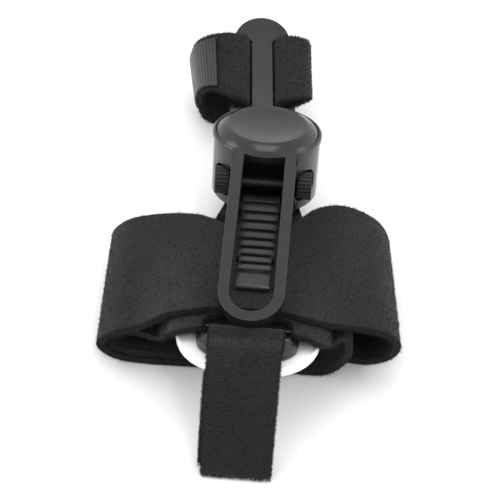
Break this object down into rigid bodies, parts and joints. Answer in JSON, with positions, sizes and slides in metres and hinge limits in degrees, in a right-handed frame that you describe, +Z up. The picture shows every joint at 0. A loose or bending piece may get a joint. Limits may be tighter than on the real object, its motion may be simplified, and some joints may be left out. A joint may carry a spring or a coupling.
{
  "type": "bunion splint",
  "caption": "Hinged bunion splint lying on a table: toe arm with padded loop, hinge drum, frame over a toothed tongue, padded foot plate, wide arch strap and narrow heel strap.",
  "frame": {"origin": "middle of the footprint, on the surface it lies on", "axes": "+Y from the heel strap towards the toe, +Z up, +X to the right when looking from the heel"},
  "size_m": [0.1022, 0.2016, 0.0416],
  "materials": {
    "plastic": "satin dark grey moulded plastic",
    "plastic_dark": "dull near-black plastic",
    "fabric": "black ribbed loop fabric with fuzzy edges",
    "hook_tape": "shiny dark grey ribbed hook tape",
    "foam": "white smooth foam"
  },
  "bodies": {
    "splint": {"foot_plate": "plastic", "foot_pad": "foam", "hinge_drum": "plastic", "cover_frame": "plastic", "toothed_tongue": "plastic", "arch_strap": "fabric", "heel_strap": "fabric"},
    "toe": {"toe_arm": "plastic", "toe_strap": "fabric", "toe_strap_tab": "hook_tape"},
    "wheel": {"thumb_wheel": "plastic_dark"}
  },
  "joints": [
    {"name": "toe_arm_swing", "type": "hinge", "parent": "splint", "child": "toe", "pos_m": [0.00121, 0.02411, 0.01787], "axis": [0, 0.2079, 0.9781], "range_deg": [-30, 30]},
    {"name": "thumb_wheel_turn", "type": "hinge", "parent": "splint", "child": "wheel", "pos_m": [0.00121, 0.01278, 0.02467], "axis": [1, 0, 0], "continuous": true}
  ]
}
